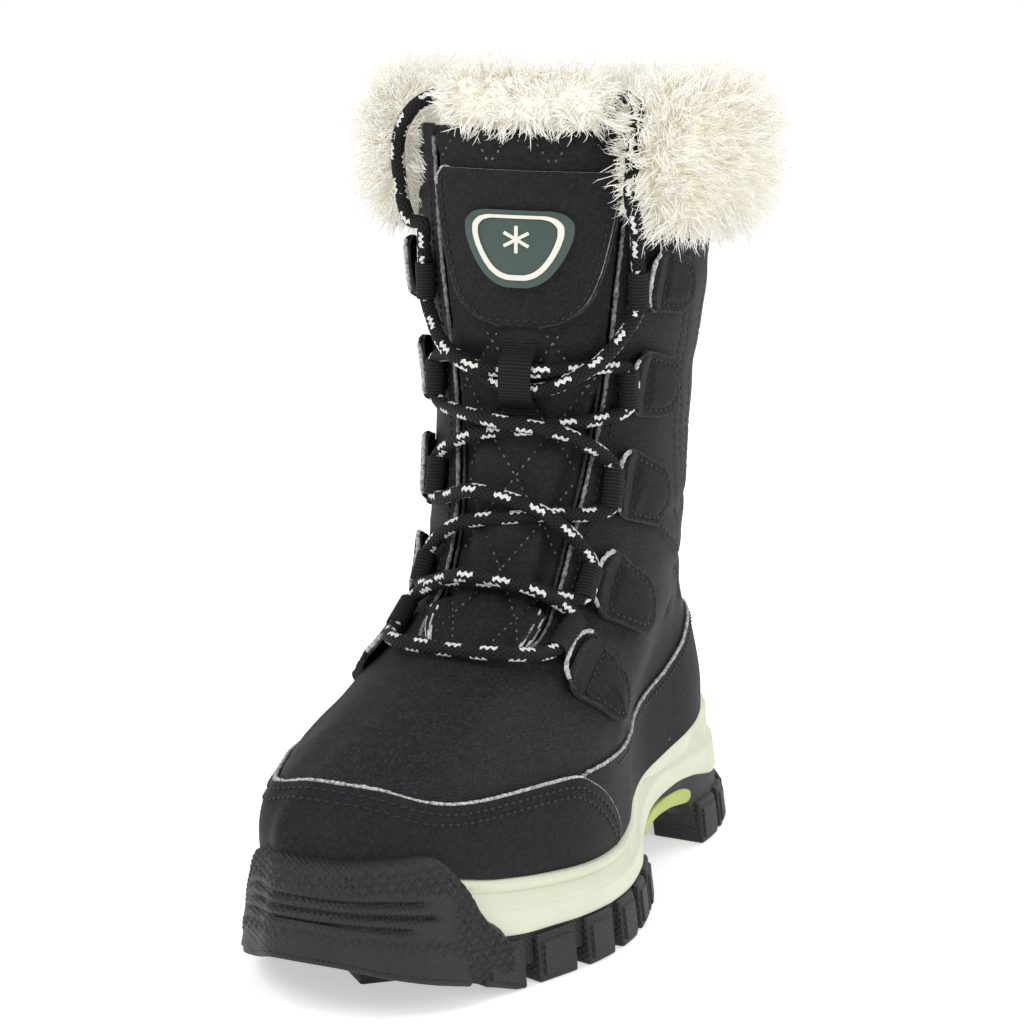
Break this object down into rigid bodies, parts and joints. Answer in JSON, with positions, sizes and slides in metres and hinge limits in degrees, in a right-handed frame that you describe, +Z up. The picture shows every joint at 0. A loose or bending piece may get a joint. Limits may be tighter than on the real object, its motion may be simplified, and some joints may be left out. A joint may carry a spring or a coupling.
{
  "type": "snow boot",
  "caption": "Left lace-up winter boot with hollow black upper, D lacing tabs, quilted tongue, deep cream fur collar, pale midsole cup and lugged black outsole.",
  "frame": {"origin": "on the ground under the middle of the boot's box", "axes": "-Y towards the toe, +X towards the outer side of the foot, +Z up"},
  "size_m": [0.1462, 0.2854, 0.2726],
  "materials": {
    "rubber_black": "matte moulded",
    "foam_cream": "matte foam, slightly soiled",
    "rubber_lime": "satin moulded",
    "insole_board": "felted board",
    "cloth_black": "matte coated cloth with a fine grain",
    "leather_black": "matte coated synthetic leather with raw pale edges",
    "quilt_black": "quilted padded cloth",
    "badge_green": "moulded soft plastic",
    "webbing_black": "woven webbing",
    "fur_cream": "deep synthetic fur",
    "lace_black": "braided round cord with pale flecks"
  },
  "bodies": {
    "root": {"arch_insert": "rubber_lime", "back_stay": "leather_black", "badge": "badge_green", "fur_cuff": "fur_cream", "insole": "insole_board", "lace_crossings": "lace_black", "lace_end_lateral": "lace_black", "lace_end_medial": "lace_black", "lace_keeper": "webbing_black", "lace_loop_lateral_1": "webbing_black", "lace_loop_lateral_2": "webbing_black", "lace_loop_lateral_3": "webbing_black", "lace_loop_lateral_4": "webbing_black", "lace_loop_lateral_5": "webbing_black", "lace_loop_medial_1": "webbing_black", "lace_loop_medial_2": "webbing_black", "lace_loop_medial_3": "webbing_black", "lace_loop_medial_4": "webbing_black", "lace_loop_medial_5": "webbing_black", "lace_tab_lateral_1": "leather_black", "lace_tab_lateral_2": "leather_black", "lace_tab_lateral_3": "leather_black", "lace_tab_lateral_4": "leather_black", "lace_tab_lateral_5": "leather_black", "lace_tab_medial_1": "leather_black", "lace_tab_medial_2": "leather_black", "lace_tab_medial_3": "leather_black", "lace_tab_medial_4": "leather_black", "lace_tab_medial_5": "leather_black", "midsole": "foam_cream", "outsole": "rubber_black", "rand_lateral": "leather_black", "rand_medial": "leather_black", "toe_cap": "leather_black", "tongue": "quilt_black", "tongue_fur": "fur_cream", "tongue_patch": "leather_black", "upper": "cloth_black"}
  },
  "joints": []
}
